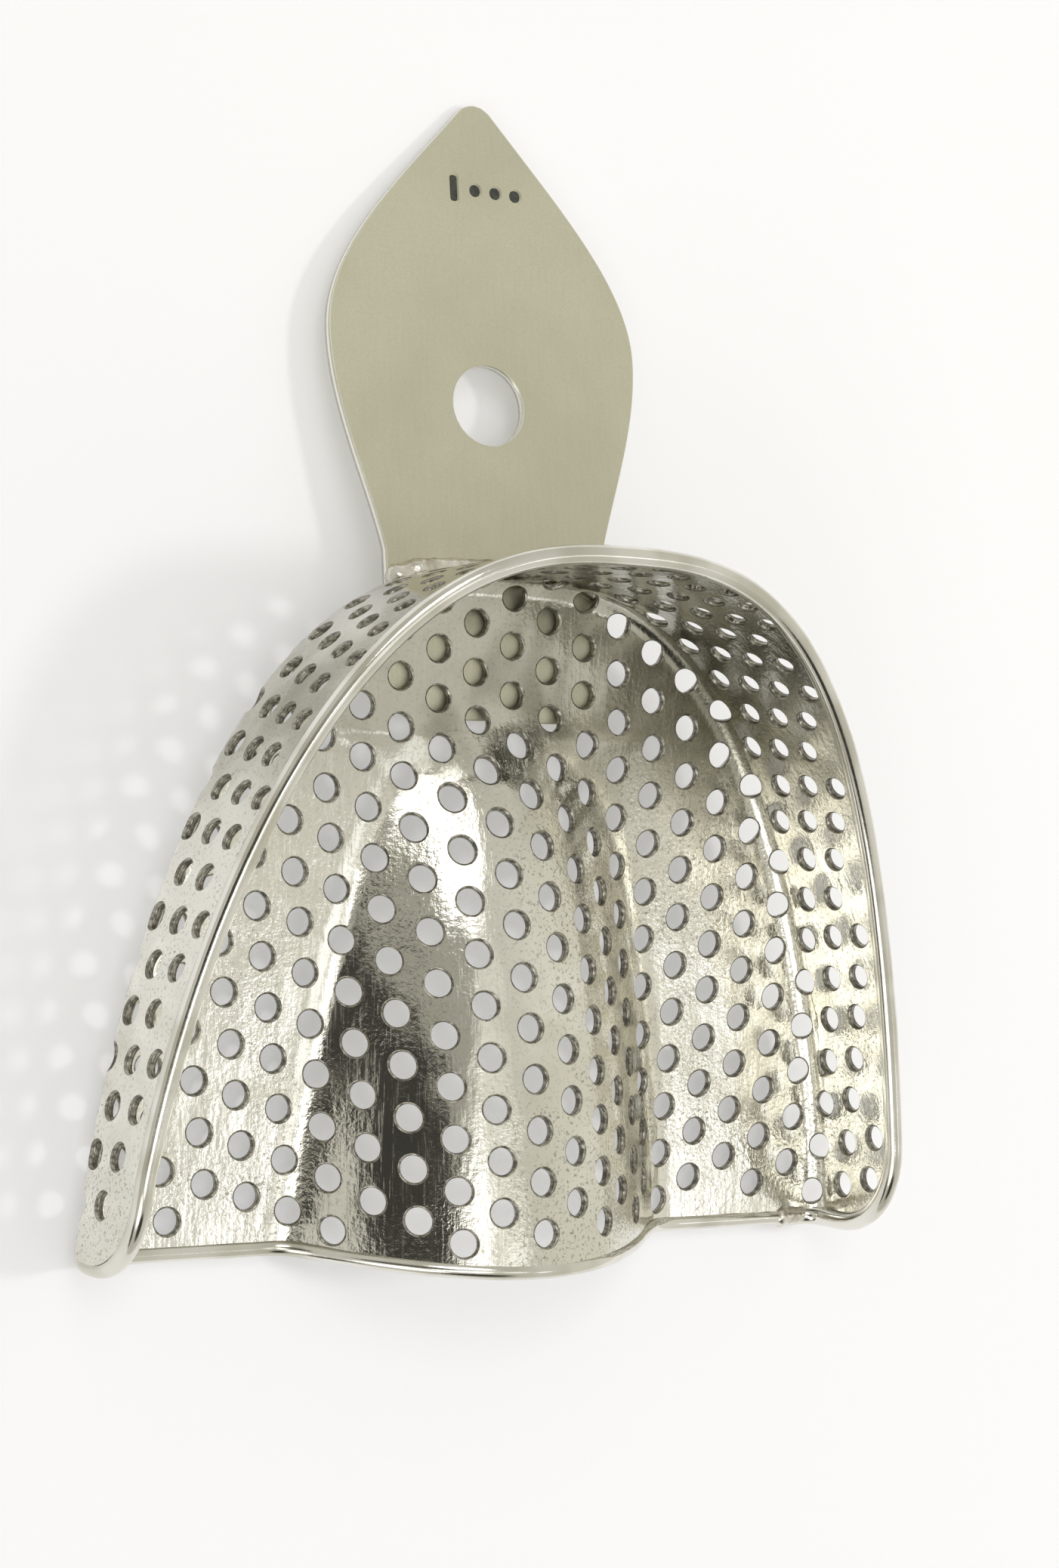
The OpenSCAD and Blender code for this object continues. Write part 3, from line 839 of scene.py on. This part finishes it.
def cut_steel():
    """Sheared edges of the sheet: duller and darker than its faces."""
    m = Nodes("sheared_edge")
    tear = m.noise(2400, 3.0, 0.6, m.mapping((1.0, 1.0, 0.25)))
    tone = m.mix(m.remap(tear, 0.35, 0.65, 0, 1, True), (0.42, 0.40, 0.34), (0.16, 0.15, 0.125))
    m.set(Metallic=1.0, Base_Color=tone, Roughness=m.remap(tear, 0.3, 0.7, 0.22, 0.4),
          Normal=m.bump(tear, 0.5, 0.00003))
    return m.material


def polished_wire():
    """Round wire: bright, with slow waves and fine wear."""
    m = Nodes("polished_wire")
    fine = m.noise(1800, 3.0, 0.6)
    long = m.noise(160, 2.0, 0.5)
    rough = m.math("ADD", m.remap(long, 0.35, 0.7, 0.06, 0.15), m.math("MULTIPLY", fine, 0.05))
    tone = m.mix(m.remap(long, 0.4, 0.65, 0, 1, True), (0.80, 0.785, 0.73), (0.62, 0.60, 0.52))
    normal = m.bump(long, 0.4, 0.00012)
    normal = m.bump(fine, 0.35, 0.00002, normal)
    m.set(Metallic=1.0, Base_Color=tone, Roughness=rough, Normal=normal)
    return m.material


def satin_plate():
    """Fine matt steel with a faint rolled grain, finger marks, and smoother edges with a painted
    highlight.
    """
    m = Nodes("satin_plate")
    grain = m.noise(6000, 3.0, 0.65)
    rolled = m.noise(2600, 2.0, 0.6, m.mapping((1.0, 0.05, 1.0), (0, 0, 0.05)))
    cloud = m.noise(60, 3.0, 0.5)
    mark = m.remap(m.noise(140, 4.0, 0.6, None, 0.8), 0.55, 0.72, 0.0, 1.0, True)
    tone = m.mix(m.remap(cloud, 0.35, 0.65, 0, 1, True), (0.70, 0.683, 0.54), (0.63, 0.61, 0.475))
    tone = m.mix(m.remap(grain, 0.35, 0.7, 0.0, 0.35), tone, (0.51, 0.495, 0.395))
    rough = m.math("ADD", m.remap(cloud, 0.3, 0.7, 0.46, 0.54), m.math("MULTIPLY", mark, -0.06))
    rough = m.math("ADD", rough, m.remap(rolled, 0.4, 0.6, -0.03, 0.03))
    normal = m.bump(grain, 0.4, 0.00002)
    normal = m.bump(rolled, 0.3, 0.00001, normal)
    # painted highlight: the narrow sides are coloured lighter than the faces, on top of being smoother
    edge = m.edge_share()
    tone = m.mix(edge, tone, (0.86, 0.85, 0.79))
    rough = m.math("SUBTRACT", rough, m.math("MULTIPLY", edge, 0.28))
    m.set(Metallic=1.0, Base_Color=tone, Roughness=rough, Normal=normal)
    return m.material


def near_black_mark_floor():
    """Dark pitted floor of the stamped marks."""
    m = Nodes("stamped_recess")
    pit = m.noise(3000, 3.0, 0.6)
    # the floor of the stamped marks is coloured near black
    tone = m.mix(m.remap(pit, 0.3, 0.7, 0, 1), (0.03, 0.035, 0.03), (0.10, 0.10, 0.09))
    m.set(Metallic=0.4, Base_Color=tone, Roughness=m.remap(pit, 0.3, 0.7, 0.45, 0.7),
          Normal=m.bump(pit, 0.6, 0.00004))
    return m.material


def solder_metal():
    """Lumpy, stained solder and braze metal."""
    m = Nodes("solder_metal")
    lump = m.noise(620, 3.0, 0.6)
    fine = m.noise(2600, 3.0, 0.65)
    stain = m.remap(m.noise(300, 3.0, 0.6), 0.42, 0.62, 0.0, 1.0, True)
    tone = m.mix(stain, (0.78, 0.755, 0.68), (0.42, 0.375, 0.29))
    rough = m.math("ADD", m.remap(stain, 0, 1, 0.14, 0.4), m.math("MULTIPLY", fine, 0.12))
    normal = m.bump(lump, 0.8, 0.0003)
    normal = m.bump(fine, 0.5, 0.00005, normal)
    m.set(Metallic=1.0, Base_Color=tone, Roughness=rough, Normal=normal)
    return m.material


def bench_paper():
    """Pale, nearly white bench that gives back a little light of its own."""
    m = Nodes("bench_surface")
    fibre = m.noise(900, 4.0, 0.6)
    cloud = m.noise(6, 2.0, 0.5)
    tone = m.mix(m.remap(cloud, 0.3, 0.7, 0, 1, True), (0.74, 0.74, 0.75), (0.72, 0.72, 0.735))
    m.set(Base_Color=tone, Emission_Color=(0.97, 0.975, 1.0), Emission_Strength=0.262,
          Roughness=m.remap(fibre, 0.3, 0.7, 0.55, 0.7), Normal=m.bump(fibre, 0.1, 0.00002))
    return m.material


# ---------------------------------------------------------------- the pieces
sheet_steel = polished_sheet()
wire_steel = polished_wire()
plate_steel = satin_plate()
solder = solder_metal()

build_shell(sheet_steel, cut_steel())
build_wires(wire_steel)
build_handle(plate_steel, near_black_mark_floor())
build_braze(solder)
build_solder(solder)

# ---------------------------------------------------------------- bench, light and camera
BENCH_SIZE = 3.0
BENCH_DROP = 0.0002


def build_bench(material):
    """The bench top, a hair under the tray."""
    h = BENCH_SIZE / 2
    mesh = bpy.data.meshes.new("bench")
    mesh.from_pydata([(-h, -h, 0), (h, -h, 0), (h, h, 0), (-h, h, 0)], [], [(0, 1, 2, 3)])
    mesh.materials.append(material)
    obj = bpy.data.objects.new("bench", mesh)
    obj.matrix_world = Matrix.Translation((0, 0, -BENCH_DROP))
    bpy.context.scene.collection.objects.link(obj)


def area(name, at, aim, size, power, colour):
    """A rectangular lamp that points at a place."""
    light = bpy.data.lights.new(name, "AREA")
    light.shape = "RECTANGLE"
    light.size, light.size_y = size
    light.energy = power
    light.color = colour
    obj = bpy.data.objects.new(name, light)
    obj.matrix_world = (Matrix.Translation(at)
                        @ (Vector(at) - Vector(aim)).to_track_quat("Z", "Y").to_matrix().to_4x4())
    bpy.context.scene.collection.objects.link(obj)
    return obj


build_bench(bench_paper())


def toward(azimuth, elevation):
    """Unit direction; azimuth 0 looks along +Y and 90 along +X."""
    a, e = math.radians(azimuth), math.radians(elevation)
    return (math.sin(a) * math.cos(e), math.cos(a) * math.cos(e), math.sin(e))


# Each patch of the room round the bench: azimuth, elevation, inner and outer half angle, colour
ROOM_COLOUR = (0.60, 0.585, 0.53)
BACK_WINDOW = (2.3, 2.29, 2.25)
FRONT_WINDOW = (3.0, 3.0, 2.97)
HALF_SHADE = (0.36, 0.35, 0.305)
DARK_FIGURE = (0.045, 0.043, 0.038)
PATCHES = [
    (90, 0, 20, 90, (0.78, 0.765, 0.70)),
    (0, 90, 4, 15, (0.80, 0.785, 0.72)),
    (124, 75, 5, 12, (1.25, 1.25, 1.22)),
    (115, 54, 3, 7, (1.5, 1.5, 1.5)),
    (-121, 71, 11, 17, BACK_WINDOW),
    (-112, 82, 4, 8, (1.5, 1.49, 1.46)),
    (-134, 36, 9, 19, BACK_WINDOW),
    (-80, 56, 13, 21, HALF_SHADE),
    (-66, 72, 5, 11, HALF_SHADE),
    (-33, 60, 6, 12, FRONT_WINDOW),
    (-14, 57, 6, 11, FRONT_WINDOW),
    (-17, 67, 5, 11, (1.9, 1.9, 1.88)),
    (-134, -3, 12, 20, DARK_FIGURE),
    (-87, 43, 5, 10, DARK_FIGURE),
    (-87, 53, 4, 9, DARK_FIGURE),
    (-91, 63, 3, 8, DARK_FIGURE),
    (-178, 34, 12, 20, DARK_FIGURE),
]


def studio_room():
    """Plain pale room with soft bright and dark areas round the bench."""
    world = bpy.data.worlds.new("studio")
    bpy.context.scene.world = world
    world.use_nodes = True
    tree = world.node_tree
    shade = tree.nodes["Background"]
    look = tree.nodes.new("ShaderNodeTexCoord").outputs["Generated"]
    colour = None
    for azimuth, elevation, inner, outer, tint in PATCHES:
        dot = tree.nodes.new("ShaderNodeVectorMath")
        dot.operation = "DOT_PRODUCT"
        tree.links.new(look, dot.inputs[0])
        dot.inputs[1].default_value = toward(azimuth, elevation)
        edge = tree.nodes.new("ShaderNodeMapRange")
        edge.interpolation_type = "SMOOTHSTEP"
        edge.inputs[1].default_value = math.cos(math.radians(outer))
        edge.inputs[2].default_value = math.cos(math.radians(inner))
        tree.links.new(dot.outputs["Value"], edge.inputs[0])
        mix = tree.nodes.new("ShaderNodeMix")
        mix.data_type = "RGBA"
        if colour is None:
            mix.inputs[6].default_value = (*ROOM_COLOUR, 1)
        else:
            tree.links.new(colour, mix.inputs[6])
        mix.inputs[7].default_value = (*tint, 1)
        tree.links.new(edge.outputs[0], mix.inputs[0])
        colour = mix.outputs[2]
    tree.links.new(colour, shade.inputs[0])
    shade.inputs[1].default_value = 1.0


studio_room()
lamp = area("lamp_right", (0.55, -0.02, 0.75), (0, 0, 0), (0.12, 0.12), 1.6, (1.0, 0.99, 0.97))
lamp.visible_glossy = False


CAMERA_AZIMUTH, CAMERA_ELEVATION, CAMERA_ROLL = -93.2448, 57.4881, 2.8549
CAMERA_DISTANCE = 249.690
LENS_MM = 71.61716
FILM_MM = 36


def camera():
    """Camera above the tray, aimed at the middle of its trough."""
    az, el, roll = (math.radians(v) for v in (CAMERA_AZIMUTH, CAMERA_ELEVATION, CAMERA_ROLL))
    target = np.array([3.1737, -17.8364, 0.5])
    back = np.array([math.sin(az) * math.cos(el), -math.cos(az) * math.cos(el), math.sin(el)])
    right = np.cross([0, 1, 0], back)
    right /= np.linalg.norm(right)
    up = np.cross(back, right)
    c, s = math.cos(roll), math.sin(roll)
    right, up = c * right + s * up, -s * right + c * up
    place = lying([target + back * CAMERA_DISTANCE])[0]
    axes = [turned([v])[0] for v in (right, up, back)]
    cam = bpy.data.cameras.new("camera")
    cam.lens = LENS_MM
    cam.sensor_width = FILM_MM
    cam.clip_start, cam.clip_end = 0.01, 10
    obj = bpy.data.objects.new("camera", cam)
    m = Matrix.Identity(4)
    for k, v in enumerate(axes):
        for r in range(3):
            m[r][k] = v[r]
    for r in range(3):
        m[r][3] = place[r]
    obj.matrix_world = m
    bpy.context.scene.collection.objects.link(obj)
    bpy.context.scene.camera = obj


camera()
bpy.context.scene.view_settings.view_transform = "Standard"
bpy.context.scene.view_settings.look = "None"
